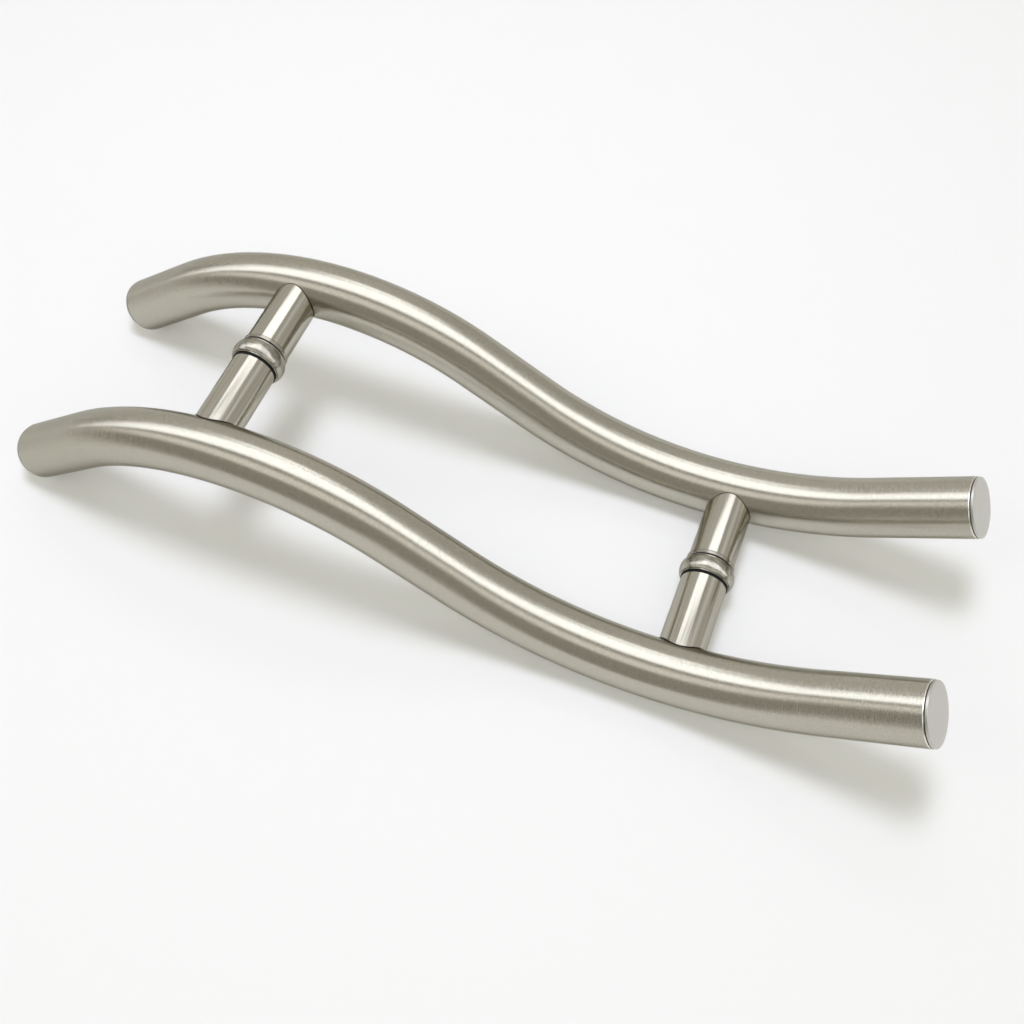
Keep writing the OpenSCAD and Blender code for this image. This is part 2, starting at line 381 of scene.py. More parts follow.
class Wave:
    """The bars' shared path, laid so that it runs through both stud axes of the frame."""

    def __init__(self, sizes):
        at_left = (sizes.left_post_turn, None)
        at_right = (sizes.crest_bend, sizes.right_post_turn)
        left = Vector(bar_path(sizes, 0.0, at_left))
        right = Vector(bar_path(sizes, 0.0, at_right))
        left_stud = node_middle("left_through_stud").xz
        right_stud = node_middle("right_through_stud").xz
        flat = right - left
        real = right_stud - left_stud
        self.left_heading = math.atan2(real.y, real.x) - math.atan2(flat.y, flat.x)
        self.middle_heading = self.left_heading - sizes.crest_bend
        self.right_heading = self.middle_heading + sizes.trough_bend
        start = left_stud - Vector(bar_path(sizes, self.left_heading, at_left))
        self.start = start
        self.end = start + Vector(bar_path(sizes, self.left_heading))
        self.bend_centres = {
            "left": self.bend_centre(sizes, at_left, 1, sizes.crest_bend_r),
            "right": self.bend_centre(sizes, at_right, -1, sizes.trough_bend_r),
        }

    def bend_centre(self, sizes, turns, side, radius):
        """Centre and radius of the bend that a post stands on, below a crest or above a trough."""
        point = self.start + Vector(bar_path(sizes, self.left_heading, turns))
        heading = self.left_heading - turns[0] + (turns[1] or 0.0)
        below = Vector((math.sin(heading), -math.cos(heading)))
        return point + side * radius * below, radius


# Mesh helpers

def finished(name, mesh, finish):
    """Shades a mesh with crisp creases, gives it its finish and puts it on its body."""
    for polygon in mesh.polygons:
        polygon.use_smooth = True
    mesh.set_sharp_from_angle(angle=CREASE)
    mesh.materials.clear()
    mesh.materials.append(finish)
    piece = bpy.data.objects.new(name, mesh)
    bpy.context.scene.collection.objects.link(piece)
    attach(piece, BODY)
    return piece


def outward(mesh):
    """Turns a closed mesh's faces outwards."""
    shell = bmesh.new()
    shell.from_mesh(mesh)
    if shell.calc_volume(signed=True) < 0:
        bmesh.ops.reverse_faces(shell, faces=shell.faces)
    shell.to_mesh(mesh)
    shell.free()
    return mesh


def ring_mesh(name, rings, seams=()):
    """Closed mesh from rings of points. A ring of one point closes the mesh on the axis,
    and when no ring has one point the last ring joins the first. The rings numbered in seams
    lie in a joint, which the attribute "seam" marks, and where the finishes paint the shade
    of the joint's gap."""
    shell = bmesh.new()
    seam = shell.verts.layers.float.new("seam")
    rows = [[shell.verts.new(point) for point in ring] for ring in rings]
    for number in seams:
        for corner in rows[number]:
            corner[seam] = 1.0
    pairs = list(zip(rows, rows[1:]))
    if all(len(row) > 1 for row in rows):
        pairs.append((rows[-1], rows[0]))
    for row, after in pairs:
        count = max(len(row), len(after))
        for i in range(count):
            j = (i + 1) % count
            corners = [row[i % len(row)], row[j % len(row)],
                       after[j % len(after)], after[i % len(after)]]
            shell.faces.new(list(dict.fromkeys(corners)))
    mesh = bpy.data.meshes.new(name)
    shell.to_mesh(mesh)
    shell.free()
    return outward(mesh)


def turned_rings(profile, sides, place):
    """Rings of a turned piece. profile is (radius, distance along the axis); place takes a
    point of the piece, with its axis along Z, to where it stands."""
    rings = []
    for radius, along in profile:
        if radius == 0:
            rings.append([place @ Vector((0, 0, along))])
            continue
        turns = [math.tau * i / sides for i in range(sides)]
        rings.append([place @ Vector((radius * math.cos(a), radius * math.sin(a), along))
                      for a in turns])
    return rings


def arc(centre, radius, start, stop, steps):
    """Points of an arc in the plane of a profile, angles in degrees."""
    angles = [math.radians(start + (stop - start) * i / steps) for i in range(steps + 1)]
    return [(centre[0] + radius * math.cos(a), centre[1] + radius * math.sin(a)) for a in angles]


def on_post_axis(side, y):
    """Stands on the axis of a side's posts at y, with Z turned to run towards +Y."""
    stud = node_middle(side + "_through_stud")
    return Matrix.Translation((stud.x, y, stud.z)) @ Matrix.Rotation(-math.pi / 2, 4, "X")


# Finishes

def material(name):
    """New material and its tree, with the shader's node and nothing on its sockets."""
    made = bpy.data.materials.new(name)
    made.use_nodes = True
    tree = Tree(made.node_tree)
    return made, tree, made.node_tree.nodes["Principled BSDF"]


# a noise's scale, or the stretch before it, is in cells to the metre

# painted shade in the narrow gap at a joint, where a post meets its bar and round an end cap's
# disc, and the tint that darkens the steel where it is seen edge on
JOINT_SHADE = (0.030, 0.028, 0.025, 1)
EDGE_TINT = (0.58, 0.565, 0.53, 1)
# painted highlight on the rims of the bars, for the light that the rim chamfer catches, and how
# far in from the tube's end it reaches
RIM_HIGHLIGHT = (0.84, 0.82, 0.77, 1)
RIM_HIGHLIGHT_REACH = 0.0007


def satin_bar(colour, length):
    """Satin tube: grained across the bar by the belt, on coordinates that follow the bends."""
    made, tree, shader = material("satin_tube")
    unbent = tree.attribute("unbent", "Vector")
    hair = tree.noise(tree.stretched(unbent, (5200, 90, 90)), 1.0, 2.0, 0.6)
    streak = tree.noise(tree.stretched(unbent, (1500, 30, 30)), 1.0, 3.0, 0.6)
    grain = tree.noise(tree.stretched(unbent, (1900, 1350, 1350)), 1.0, 1.0, 0.5)
    cloud = tree.noise(tree.stretched(unbent, (60, 40, 40)), 1.0, 3.0, 0.5)
    tone = tree.spread(streak * 0.1 + cloud * 0.05 + grain * 0.85, 0.34, 0.66)
    shade = tree.blend(tone, tree.rgb(colour, 0.91), tree.rgb(colour, 1.09))
    # painted highlight: the bar's colour turns pale near each rim, for the light that the rim
    # chamfer catches
    run = tree.part(unbent, 0)
    rim = tree.larger(run < RIM_HIGHLIGHT_REACH, length - run < RIM_HIGHLIGHT_REACH)
    tree.feed(shader.inputs["Base Color"], tree.blend(rim, shade, RIM_HIGHLIGHT))
    shader.inputs["Metallic"].default_value = 1.0
    tree.feed(shader.inputs["Roughness"], 0.155 + 0.03 * tone + 0.05 * hair)
    height = hair * 0.75 + streak * 0.25
    tree.feed(shader.inputs["Normal"], tree.bump(height, 0.00016, 0.5))
    shader.inputs["Specular Tint"].default_value = EDGE_TINT
    return made


def drawn_post(colour):
    """Drawn tube: crisp streaks that run along the post."""
    made, tree, shader = material("drawn_tube")
    place = tree.place()
    line = tree.noise(tree.stretched(place, (1500, 14, 1500)), 1.0, 3.0, 0.6)
    hair = tree.noise(tree.stretched(place, (4200, 40, 4200)), 1.0, 2.0, 0.5)
    tone = tree.spread(line * 0.65 + hair * 0.35, 0.33, 0.67)
    shade = tree.blend(tone, tree.rgb(colour, 0.86), tree.rgb(colour, 1.10))
    # painted shade: the post's rings in the joint with its bar are darkened, for the shade in the
    # joint's gap
    seam = tree.attribute("seam", "Fac")
    tree.feed(shader.inputs["Base Color"], tree.blend(seam, shade, JOINT_SHADE))
    shader.inputs["Metallic"].default_value = 1.0
    tree.feed(shader.inputs["Roughness"], 0.09 + 0.08 * tone + 0.3 * seam)
    tree.feed(shader.inputs["Normal"], tree.bump(line * 0.5 + hair * 0.5, 0.00005, 0.5))
    shader.inputs["Specular Tint"].default_value = EDGE_TINT
    return made


def turned_steel(name, colour, gloss, blotch=0.06):
    """Turned piece: faint tool rings that run round the post's axis, and the uneven, blotched
    polish of a piece that was buffed by hand, in its roughness and bump. The same blotches
    in its colour are painted reflection, dark and pale patches for the room seen in the
    steel. gloss is the roughness of its smoothest places, and blotch is how strong the
    blotches are."""
    made, tree, shader = material(name)
    place = tree.place()
    rings = tree.noise(tree.stretched(place, (60, 5200, 60)), 1.0, 2.0, 0.5)
    cloud = tree.noise(place, 190.0, 3.0, 0.5)
    tone = tree.spread(rings * 0.25 + cloud * 0.75, 0.38, 0.62)
    # painted reflection: the blotches darken and lighten the colour itself
    shade = tree.blend(tone, tree.rgb(colour, 1 - blotch), tree.rgb(colour, 1 + blotch))
    tree.feed(shader.inputs["Base Color"], shade)
    shader.inputs["Metallic"].default_value = 1.0
    tree.feed(shader.inputs["Roughness"], gloss + 0.3 * blotch * tone)
    tree.feed(shader.inputs["Normal"],
              tree.bump(rings * 0.02 + cloud * blotch, 0.002, 1.0))
    shader.inputs["Specular Tint"].default_value = EDGE_TINT
    return made


def cap_steel(colour):
    """End disc: flat pale satin face with a fine even grain."""
    made, tree, shader = material("satin_disc")
    place = tree.place()
    grain = tree.noise(tree.stretched(place, (900, 2600, 2600)), 1.0, 3.0, 0.6)
    cloud = tree.noise(place, 120.0, 2.0, 0.5)
    tone = tree.spread(grain * 0.6 + cloud * 0.4, 0.35, 0.65)
    shade = tree.blend(tone, tree.rgb(colour, 0.96), tree.rgb(colour, 1.03))
    # painted shade: the disc's edge next to the tube's rim is darkened, for the shade in the seam
    # between them
    seam = tree.attribute("seam", "Fac")
    tree.feed(shader.inputs["Base Color"], tree.blend(seam, shade, JOINT_SHADE))
    shader.inputs["Metallic"].default_value = 1.0
    tree.feed(shader.inputs["Roughness"], 0.34 + 0.08 * tone + 0.2 * seam)
    tree.feed(shader.inputs["Normal"], tree.bump(grain, 0.00003, 0.4))
    return made


def rubber(colour):
    """Gasket rubber: near black and matt, with a fine moulded grain."""
    made, tree, shader = material("gasket_rubber")
    place = tree.place()
    grain = tree.noise(place, 2600.0, 2.0, 0.5)
    cloud = tree.noise(place, 300.0, 2.0, 0.5)
    shade = tree.blend(cloud, tree.rgb(colour, 0.8), tree.rgb(colour, 1.5))
    tree.feed(shader.inputs["Base Color"], shade)
    tree.feed(shader.inputs["Roughness"], 0.60 + 0.2 * grain)
    tree.feed(shader.inputs["Normal"], tree.bump(grain, 0.00004, 0.5))
    shader.inputs["Specular IOR Level"].default_value = 0.2
    return made


def plated_thread(name, colour, pitch, metallic=1.0, rough=0.28):
    """Screw steel: the fine thread is drawn as a bump, with a ridge every pitch metres
    along Y."""
    made, tree, shader = material(name)
    place = tree.place()
    turn = tree.part(place, 1) * (math.tau / pitch)
    ridge = tree.sine(turn)
    cloud = tree.noise(place, 500.0, 3.0, 0.5)
    shade = tree.blend(cloud, tree.rgb(colour, 0.85), tree.rgb(colour, 1.1))
    tree.feed(shader.inputs["Base Color"], shade)
    shader.inputs["Metallic"].default_value = metallic
    tree.feed(shader.inputs["Roughness"], rough + 0.12 * cloud)
    tree.feed(shader.inputs["Normal"], tree.bump(ridge, 0.0003, 0.7))
    return made


def nylon():
    """Sleeve nylon: milky white and smooth."""
    made, tree, shader = material("sleeve_nylon")
    place = tree.place()
    cloud = tree.noise(place, 350.0, 2.0, 0.5)
    shade = tree.blend(cloud, (0.78, 0.78, 0.75, 1), (0.84, 0.84, 0.82, 1))
    tree.feed(shader.inputs["Base Color"], shade)
    tree.feed(shader.inputs["Roughness"], 0.35 + 0.15 * cloud)
    return made


# Geometry Nodes tree of the bars

# how near two corners lie that the tree makes one, in metres
MERGE_REACH = 0.000001
WAVE_INPUTS = (
    ("Outer radius", "NodeSocketFloat"), ("Inner radius", "NodeSocketFloat"),
    ("Rim chamfer", "NodeSocketFloat"), ("Left straight", "NodeSocketFloat"),
    ("Crest radius", "NodeSocketFloat"), ("Crest angle", "NodeSocketFloat"),
    ("Middle straight", "NodeSocketFloat"), ("Trough radius", "NodeSocketFloat"),
    ("Trough angle", "NodeSocketFloat"), ("Right straight", "NodeSocketFloat"),
    ("Heading", "NodeSocketFloat"), ("Start", "NodeSocketVector"),
    ("Spans", "NodeSocketInt"), ("Sides", "NodeSocketInt"), ("Finish", "NodeSocketMaterial"),
)


def wave_tree():
    """Tube along a wave: a straight, a bend down, a straight, a bend up and a straight.
    A grid is rolled up round the path. Its rows run out along the outer wall and back along
    the inner one, so the tube is closed, with a chamfer on both rims."""
    group = bpy.data.node_groups.new("Tube along a wave", "GeometryNodeTree")
    group.interface.new_socket("Geometry", in_out="OUTPUT", socket_type="NodeSocketGeometry")
    for name, kind in WAVE_INPUTS:
        group.interface.new_socket(name, in_out="INPUT", socket_type=kind)
    tree = Tree(group)
    source = group.nodes.new("NodeGroupInput")
    given = {name: Value(tree, source.outputs[name]) for name, kind in WAVE_INPUTS}
    spans, sides = given["Spans"], given["Sides"]
    chamfer = given["Rim chamfer"]

    rows = 2 * spans + 2
    grid = tree.node("GeometryNodeMeshGrid", None,
                     {"Vertices X": rows + 1, "Vertices Y": sides + 1})
    place = tree.node("GeometryNodeInputPosition")
    row = tree.maths("ROUND", (tree.part(place, 0) + 0.5) * rows)
    angle = (tree.part(place, 1) + 0.5) * math.tau
    row = tree.maths("MODULO", row, rows)
    outside = row < spans + 0.5
    step = tree.smaller(row, rows - 1 - row)

    crest_run = given["Crest radius"] * given["Crest angle"]
    trough_run = given["Trough radius"] * given["Trough angle"]
    to_crest = given["Left straight"]
    to_middle = to_crest + crest_run
    to_trough = to_middle + given["Middle straight"]
    to_right = to_trough + trough_run
    length = to_right + given["Right straight"]
    pace = (length - 2 * chamfer) / (spans - 2)
    run = tree.within(chamfer + (step - 1) * pace, 0.0, length)
    cut = tree.larger(chamfer - run, 0.0) + tree.larger(run - (length - chamfer), 0.0)
    radius = outside * (given["Outer radius"] - cut) + (1 - outside) * given["Inner radius"]

    heading = given["Heading"]
    down = heading - given["Crest angle"]
    up = down + given["Trough angle"]
    left = tree.smaller(run, to_crest)
    crest = heading - tree.within(run - to_crest, 0.0, crest_run) / given["Crest radius"]
    middle = tree.within(run - to_middle, 0.0, given["Middle straight"])
    trough = down + tree.within(run - to_trough, 0.0, trough_run) / given["Trough radius"]
    right = tree.larger(run - to_right, 0.0)
    x = (left * tree.cosine(heading)
         + given["Crest radius"] * (tree.sine(heading) - tree.sine(crest))
         + middle * tree.cosine(down)
         + given["Trough radius"] * (tree.sine(trough) - tree.sine(down))
         + right * tree.cosine(up))
    z = (left * tree.sine(heading)
         + given["Crest radius"] * (tree.cosine(crest) - tree.cosine(heading))
         + middle * tree.sine(down)
         + given["Trough radius"] * (tree.cosine(down) - tree.cosine(trough))
         + right * tree.sine(up))
    turned = crest + trough - down

    lift = radius * tree.cosine(angle)
    aside = radius * tree.sine(angle)
    rolled = tree.vector(x - lift * tree.sine(turned), aside, z + lift * tree.cosine(turned))
    at = tree.node("ShaderNodeVectorMath", {"operation": "ADD"}, {0: rolled, 1: given["Start"]})
    marked = tree.node("GeometryNodeStoreNamedAttribute",
                       {"data_type": "FLOAT_VECTOR", "domain": "POINT"},
                       {"Geometry": grid, "Name": "unbent",
                        "Value": tree.vector(run, lift, aside)})
    placed = tree.node("GeometryNodeSetPosition", None, {"Geometry": marked, "Position": at})
    closed = tree.node("GeometryNodeMergeByDistance", None,
                       {"Geometry": placed, "Distance": MERGE_REACH})
    real = tree.node("GeometryNodeRealizeInstances", None, {"Geometry": closed})
    dressed = tree.node("GeometryNodeSetMaterial", None,
                        {"Geometry": real, "Material": given["Finish"]})
    sink = group.nodes.new("NodeGroupOutput")
    group.links.new(dressed.socket, sink.inputs["Geometry"])
    return group


def run_tree(name, group, inputs):
    """Evaluates a geometry tree with these inputs and returns the result as a plain mesh."""
    carrier = bpy.data.objects.new(name + "_maker", bpy.data.meshes.new(name + "_maker"))
    bpy.context.scene.collection.objects.link(carrier)
    modifier = carrier.modifiers.new("wave", "NODES")
    modifier.node_group = group
    for item in group.interface.items_tree:
        if item.in_out == "INPUT":
            modifier[item.identifier] = inputs[item.name]
    bpy.context.view_layer.update()
    graph = bpy.context.evaluated_depsgraph_get()
    mesh = bpy.data.meshes.new_from_object(carrier.evaluated_get(graph))
    carrier.modifiers.remove(modifier)
    bpy.data.objects.remove(carrier)
    mesh.name = name
    return outward(mesh)


class PULL_OT_bars(bpy.types.Operator):
    """Sweep the front and the rear bar along the wave"""
    bl_idname = "pull.bars"
    bl_label = "Bars"

    def execute(self, context):
        sizes = context.scene.pull_bar
        wave = Wave(sizes)
        group = wave_tree()
        length = (sizes.left_straight + sizes.crest_bend_r * sizes.crest_bend
                  + sizes.middle_straight + sizes.trough_bend_r * sizes.trough_bend
                  + sizes.right_straight)
        finish = satin_bar(context.scene.pull_finish.bar_steel, length)
        for bar in BARS:
            node = bar + "_bar"
            mesh = run_tree(bar + "_wave_tube", group, {
                "Outer radius": sizes.tube_d / 2,
                "Inner radius": sizes.tube_d / 2 - sizes.tube_wall,
                "Rim chamfer": sizes.rim_chamfer,
                "Left straight": sizes.left_straight,
                "Crest radius": sizes.crest_bend_r,
                "Crest angle": sizes.crest_bend,
                "Middle straight": sizes.middle_straight,
                "Trough radius": sizes.trough_bend_r,
                "Trough angle": sizes.trough_bend,
                "Right straight": sizes.right_straight,
                "Heading": wave.left_heading,
                "Start": (wave.start.x, node_middle(node).y, wave.start.y),
                "Spans": sizes.spans,
                "Sides": sizes.sides,
                "Finish": finish,
            })
            piece = finished(bar + "_wave_tube", mesh, finish)
            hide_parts(node)
        return {"FINISHED"}


# rings on a cap's flat face, as shares of its radius, so that its faces aren't long slivers
FACE_RINGS = (0.75, 0.5, 0.25)


class PULL_OT_caps(bpy.types.Operator):
    """Turn the four pressed caps in the bars' ends"""
    bl_idname = "pull.caps"
    bl_label = "End caps"

    def execute(self, context):
        bar = context.scene.pull_bar
        cap = context.scene.pull_cap
        wave = Wave(bar)
        finish = cap_steel(context.scene.pull_finish.cap_steel)
        rim = bar.tube_d / 2 - cap.inset
        skirt = bar.tube_d / 2 - bar.tube_wall - cap.fit
        profile = [(0, 0), (skirt - cap.skirt_wall, 0), (skirt - cap.skirt_wall, -cap.skirt),
                   (skirt, -cap.skirt), (skirt, 0)]
        # the rings round the disc's edge next to the tube's rim carry the painted shade of the
        # seam
        seam = len(profile)
        profile += [(rim, 0), (rim, cap.seam / 2), (rim, cap.seam)]
        profile += arc((rim - cap.edge, cap.thickness - cap.edge), cap.edge, 0, 90, 5)
        profile += [((rim - cap.edge) * share, cap.thickness) for share in FACE_RINGS]
        profile += [(0, cap.thickness)]
        out_of_end = {
            "left": (wave.start, Vector((-math.cos(wave.left_heading), 0,
                                         -math.sin(wave.left_heading)))),
            "right": (wave.end, Vector((math.cos(wave.right_heading), 0,
                                        math.sin(wave.right_heading)))),
        }
        for row in BARS:
            for side in SIDES:
                node = f"{row}_{side}_cap"
                point, way = out_of_end[side]
                turn = way.to_track_quat("Z", "Y").to_matrix().to_4x4()
                place = Matrix.Translation((point.x, node_middle(node).y, point.y)) @ turn
                mesh = ring_mesh(node + "_disc", turned_rings(profile, bar.sides, place),
                                 (seam - 1, seam, seam + 1))
                piece = finished(node + "_disc", mesh, finish)
                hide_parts(node)
        return {"FINISHED"}


# rings round a post, by their distance from its open end, so that its faces aren't too long
POST_RINGS = (0.018, 0.006)


class PULL_OT_posts(bpy.types.Operator):
    """Build the four posts, each with a saddle end that fits its bar"""
    bl_idname = "pull.posts"
    bl_label = "Posts"

    def saddle_y(self, x, z, side, wave, reach):
        """Distance along Y from the bar's axis to its skin, above a point of its plane."""
        centre, radius = wave.bend_centres[side]
        off = (Vector((x, z)) - centre).length - radius
        return math.sqrt(reach * reach - off * off)

    def execute(self, context):
        bar = context.scene.pull_bar
        post = context.scene.pull_post
        wave = Wave(bar)
        finish = drawn_post(context.scene.pull_finish.post_steel)
        outer = post.post_d / 2
        inner = outer - post.post_wall
        reach = bar.tube_d / 2 + post.saddle_gap
        turns = [math.tau * i / post.sides for i in range(post.sides)]
        for row in BARS:
            bar_y = node_middle(row + "_bar").y
            way = 1 if row == "front" else -1
            for side in SIDES:
                node = f"{row}_{side}_post"
                stud = node_middle(side + "_through_stud")
                low, high = node_span(node)
                end = high if way > 0 else low

                def ring(radius, along=None, off=0.0):
                    """Points round the post, along from its open end or off the bar's skin."""
                    points = []
                    for a in turns:
                        x = stud.x + radius * math.cos(a)
                        z = stud.z + radius * math.sin(a)
                        y = end - way * along if along is not None else (
                            bar_y + way * (self.saddle_y(x, z, side, wave, reach) + off))
                        points.append((x, y, z))
                    return points

                # the first rings, in the joint with the bar, carry the painted shade of the
                # joint's gap
                rings = [ring(inner), ring(outer), ring(outer, off=post.seam / 2),
                         ring(outer, off=post.seam)]
                rings += [ring(outer, along) for along in POST_RINGS]
                rings += [ring(outer, post.post_edge), ring(outer - post.post_edge, 0),
                          ring(inner, 0)]
                mesh = ring_mesh(node + "_tube", rings, (0, 1, 2))
                piece = finished(node + "_tube", mesh, finish)
                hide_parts(node)
        return {"FINISHED"}


class PULL_OT_collars(bpy.types.Operator):
    """Turn the beaded collar on each pair of posts"""
    bl_idname = "pull.collars"
    bl_label = "Collars"

    def execute(self, context):
        post = context.scene.pull_post
        # the strong blotch paints much of the collar's reflections into its colour
        finish = turned_steel("turned_collar", context.scene.pull_finish.collar_steel,
                              gloss=0.11, blotch=0.22)
        land_r = post.post_d / 2 + post.land_rise
        edge_r = land_r + post.step
        crown_r = post.post_d / 2 + post.crown
        for side in SIDES:
            node = side + "_collar"
            low, high = node_span(node)
            length = high - low
            half = length / 2 - post.land
            rise = crown_r - edge_r
            bead_r = (half * half + rise * rise) / (2 * rise)
            swing = math.degrees(math.asin(half / bead_r))
            edge = post.step / 4
            profile = [(post.bore_d / 2, 0), (land_r - edge, 0), (land_r, edge),
                       (land_r, post.land)]
            profile += arc((crown_r - bead_r, length / 2), bead_r, -swing, swing, 28)
            profile += [(land_r, length - post.land), (land_r, length - edge),
                        (land_r - edge, length), (post.bore_d / 2, length)]
            place = on_post_axis(side, low)
            mesh = ring_mesh(node + "_bead", turned_rings(profile, post.sides, place))
            piece = finished(node + "_bead", mesh, finish)
            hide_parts(node)
        return {"FINISHED"}


class PULL_OT_gaskets(bpy.types.Operator):
    """Mould the four rubber gaskets, two at each collar"""
    bl_idname = "pull.gaskets"
    bl_label = "Gaskets"

    def execute(self, context):
        post = context.scene.pull_post
        finish = rubber(context.scene.pull_finish.rubber)
        outer = post.post_d / 2 + post.gasket_rise
        for side in SIDES:
            for row in BARS:
                node = f"{side}_{row}_gasket"
                low, high = node_span(node)
                round_r = (high - low) / 5
                profile = [(post.bore_d / 2, 0)]
                profile += arc((outer - round_r, round_r), round_r, -90, 0, 4)
                profile += arc((outer - round_r, high - low - round_r), round_r, 0, 90, 4)
                profile += [(post.bore_d / 2, high - low)]
                place = on_post_axis(side, low)
                mesh = ring_mesh(node + "_ring", turned_rings(profile, post.sides, place))
                piece = finished(node + "_ring", mesh, finish)
                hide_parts(node)
        return {"FINISHED"}


# depth of the groove in the barrel's shank that the grub screw's point stands in
GROOVE = 0.001


class PULL_OT_barrels(bpy.types.Operator):
    """Turn the two flanged fixing barrels, seen as a thin ring behind each collar"""
    bl_idname = "pull.barrels"
    bl_label = "Fixing barrels"

    def execute(self, context):
        post = context.scene.pull_post
        finish = turned_steel("turned_barrel", context.scene.pull_finish.collar_steel,
                              gloss=0.14)
        flange = post.post_d / 2 + post.flange_rise
        shank = post.barrel_d / 2
        for side in SIDES:
            node = side + "_fixing_barrel"
            low, high = node_span(node)
            screw_low, screw_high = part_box(side + "_grub_screw")
            grub = node_middle(side + "_grub_screw").y - low
            grub_r = (screw_high.x - screw_low.x) / 2
            edge = post.flange_t / 8
            profile = [(post.stud_bore_d / 2, 0), (flange - edge, 0), (flange, edge),
                       (flange, post.flange_t - edge), (flange - edge, post.flange_t),
                       (shank, post.flange_t), (shank, grub - grub_r - GROOVE),
                       (shank - GROOVE, grub - grub_r), (shank - GROOVE, grub + grub_r),
                       (shank, grub + grub_r + GROOVE), (shank, high - low),
                       (post.stud_bore_d / 2, high - low)]
            place = on_post_axis(side, low)
            mesh = ring_mesh(node + "_turned", turned_rings(profile, post.sides, place))
            piece = finished(node + "_turned", mesh, finish)
            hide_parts(node)
        return {"FINISHED"}


class PULL_OT_fixings(bpy.types.Operator):
    """Finish the fixings inside the posts, which keep their CAD shapes"""
    bl_idname = "pull.fixings"
    bl_label = "Inner fixings"

    def execute(self, context):
        steel = context.scene.pull_finish.collar_steel
        finishes = {
            "threaded_insert": turned_steel("insert_steel", (0.52, 0.52, 0.51), gloss=0.28),
            "post_bush": turned_steel("bush_steel", steel, gloss=0.24),
            "through_stud": plated_thread("stud_thread", (0.62, 0.62, 0.64), pitch=0.00125),
            "stud_sleeve": nylon(),
            "grub_screw": plated_thread("grub_black", (0.035, 0.035, 0.037), pitch=0.001,
                                        metallic=0.6, rough=0.38),
        }
        for side in SIDES:
            for name, finish in finishes.items():
                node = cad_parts[f"{side}_{name}"]
                for slot in node.material_slots:
                    slot.link = "OBJECT"
                    slot.material = finish
        return {"FINISHED"}


# colours of the lamps: the key lamp over the floor, and the softboxes that the steel reflects
FLOOR_LIGHT = (0.97, 1.0, 1.25)
COOL_LIGHT = (0.975, 1.0, 1.09)
# the dim room that the steel reflects, and the paler sweep that a low view sees past the floor
ROOM = (0.40, 0.385, 0.345, 1)
SWEEP = (0.47, 0.46, 0.42, 1)


def softbox(name, middle, size, aim, level, colour=(1, 1, 1)):
    """Rectangular lamp that shines from its middle to the point aim. level is how bright its
    face looks, where 1 is white."""
    lamp = bpy.data.lights.new(name, "AREA")
    lamp.shape = "RECTANGLE"
    lamp.size, lamp.size_y = size
    lamp.energy = level * math.pi * size[0] * size[1]
    lamp.color = colour
    holder = bpy.data.objects.new(name, lamp)
    holder.location = middle
    holder.rotation_euler = (Vector(aim) - Vector(middle)).to_track_quat("-Z", "Y").to_euler()
    bpy.context.scene.collection.objects.link(holder)
    return holder


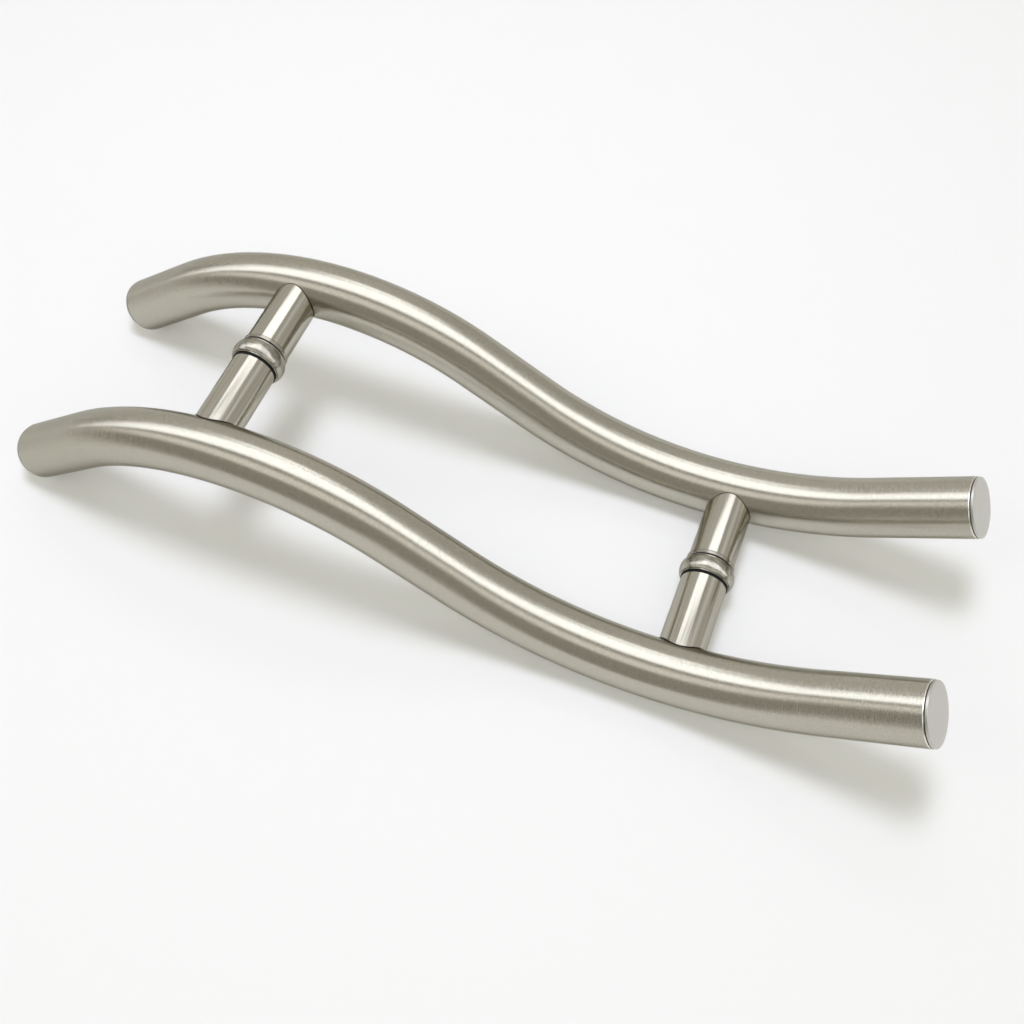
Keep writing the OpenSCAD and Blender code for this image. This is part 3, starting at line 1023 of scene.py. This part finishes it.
class PULL_OT_stage(bpy.types.Operator):
    """Set the floor, the lamps, the world and the camera"""
    bl_idname = "pull.stage"
    bl_label = "Stage"

    def floor(self, stage):
        half = stage.floor_size / 2
        mesh = bpy.data.meshes.new("pale_floor")
        corners = [(-half, -half, 0), (half, -half, 0), (half, half, 0), (-half, half, 0)]
        mesh.from_pydata(corners, [], [(0, 1, 2, 3)])
        made, tree, shader = material("pale_floor")
        place = tree.place()
        cloud = tree.noise(place, 3.0, 2.0, 0.5)
        shade = tree.blend(cloud, tree.rgb(stage.floor_colour, 0.995),
                           tree.rgb(stage.floor_colour, 1.005))
        tree.feed(shader.inputs["Base Color"], shade)
        shader.inputs["Roughness"].default_value = 0.9
        shader.inputs["Specular IOR Level"].default_value = 0.0
        # the lift is seen by the camera and in the steel, and lights no matt surface
        rays = made.node_tree.nodes.new("ShaderNodeLightPath")
        seen = [Value(tree, rays.outputs[name]) for name in
                ("Is Camera Ray", "Is Glossy Ray", "Is Transmission Ray")]
        shown = tree.larger(tree.larger(seen[0], seen[1]), seen[2])
        shader.inputs["Emission Color"].default_value = (1, 1, 1, 1)
        tree.feed(shader.inputs["Emission Strength"], shown * stage.floor_lift)
        mesh.materials.append(made)
        floor = bpy.data.objects.new("pale_floor", mesh)
        bpy.context.scene.collection.objects.link(floor)

    def lamps(self):
        # the steel doesn't reflect this lamp. Its blue evens out the floor's warm colour, so
        # that the lit floor is neutral and the shadows are warm
        key = softbox("key_lamp", (-0.15, 0.16, 2.0), (0.58, 0.58), (0, 0, 0), 20.4, FLOOR_LIGHT)
        key.visible_glossy = False
        # the steel reflects this strip and the rear walls, and neither lights the floor
        strip = softbox("overhead_strip", (0.0, 0.35, 2.0), (60.0, 1.24), (0, 0.35, 0), 1.86,
                        COOL_LIGHT)
        strip.visible_diffuse = False
        softbox("post_softbox", (-0.35, 1.25, 2.0), (1.7, 0.40), (-0.35, 1.25, 0), 1.9,
                COOL_LIGHT)
        softbox("side_softbox", (1.75, 1.55, 2.0), (0.75, 0.7), (0, 0, 0), 0.25, COOL_LIGHT)
        softbox("front_strip", (0.0, -1.10, 1.79), (14.0, 0.82), (0, 0, 0.05), 0.75)
        for name, x, level in (("rear_wall_left", -3.5, 0.28), ("rear_wall_right", 3.5, 0.18)):
            wall = softbox(name, (x, 2.6, 2.2), (7.0, 4.2), (x, 0, 2.2), level)
            wall.visible_diffuse = False

    def world(self, scene):
        world = bpy.data.worlds.new("studio_room")
        scene.world = world
        world.use_nodes = True
        back = world.node_tree.nodes["Background"]
        tree = Tree(world.node_tree)
        seen = tree.node("ShaderNodeLightPath", out="Is Camera Ray")
        tree.feed(back.inputs["Color"], tree.blend(seen, ROOM, SWEEP))
        back.inputs["Strength"].default_value = 1.0

    def camera(self, scene, stage):
        lens = bpy.data.cameras.new("photo_view")
        lens.sensor_width = 36.0
        lens.lens = stage.lens
        lens.shift_x, lens.shift_y = stage.slide
        lens.clip_start = 0.01
        holder = bpy.data.objects.new("photo_view", lens)
        az, el = stage.azimuth, stage.elevation
        back = Vector((math.sin(az) * math.cos(el), -math.cos(az) * math.cos(el), math.sin(el)))
        right = Vector((math.cos(az), math.sin(az), 0))
        up = back.cross(right)
        turn = Matrix((right, up, back)).transposed().to_4x4()
        holder.matrix_world = Matrix.Translation(stage.eye) @ turn
        scene.collection.objects.link(holder)
        scene.camera = holder

    def execute(self, context):
        scene = context.scene
        self.floor(scene.pull_stage)
        self.lamps()
        self.world(scene)
        self.camera(scene, scene.pull_stage)
        scene.view_settings.view_transform = "Standard"
        return {"FINISHED"}


OPERATORS = (PULL_OT_bars, PULL_OT_caps, PULL_OT_posts, PULL_OT_collars, PULL_OT_gaskets,
             PULL_OT_barrels, PULL_OT_fixings, PULL_OT_stage)
GROUPS = {"pull_bar": PullBarSizes, "pull_cap": PullCapSizes, "pull_post": PullPostSizes,
          "pull_finish": PullFinish, "pull_stage": PullStage}


class PULL_PT_panel(bpy.types.Panel):
    """Sizes and buttons of the pull"""
    bl_idname = "PULL_PT_panel"
    bl_label = "Wave tube pull"
    bl_space_type = "VIEW_3D"
    bl_region_type = "UI"
    bl_category = "Pull"

    def draw(self, context):
        for group in GROUPS:
            box = self.layout.box()
            values = getattr(context.scene, group)
            for name in values.bl_rna.properties.keys():
                if name not in ("rna_type", "name"):
                    box.prop(values, name)
        for operator in OPERATORS:
            self.layout.operator(operator.bl_idname)


def register():
    for group in GROUPS.values():
        bpy.utils.register_class(group)
    for name, group in GROUPS.items():
        setattr(bpy.types.Scene, name, PointerProperty(type=group))
    for operator in OPERATORS:
        bpy.utils.register_class(operator)
    bpy.utils.register_class(PULL_PT_panel)


def unregister():
    bpy.utils.unregister_class(PULL_PT_panel)
    for operator in reversed(OPERATORS):
        bpy.utils.unregister_class(operator)
    for name in GROUPS:
        delattr(bpy.types.Scene, name)
    for group in GROUPS.values():
        bpy.utils.unregister_class(group)


def main():
    register()
    bpy.ops.pull.bars()
    bpy.ops.pull.caps()
    bpy.ops.pull.posts()
    bpy.ops.pull.collars()
    bpy.ops.pull.gaskets()
    bpy.ops.pull.barrels()
    bpy.ops.pull.fixings()
    bpy.ops.pull.stage()


if __name__ == "__main__":
    main()
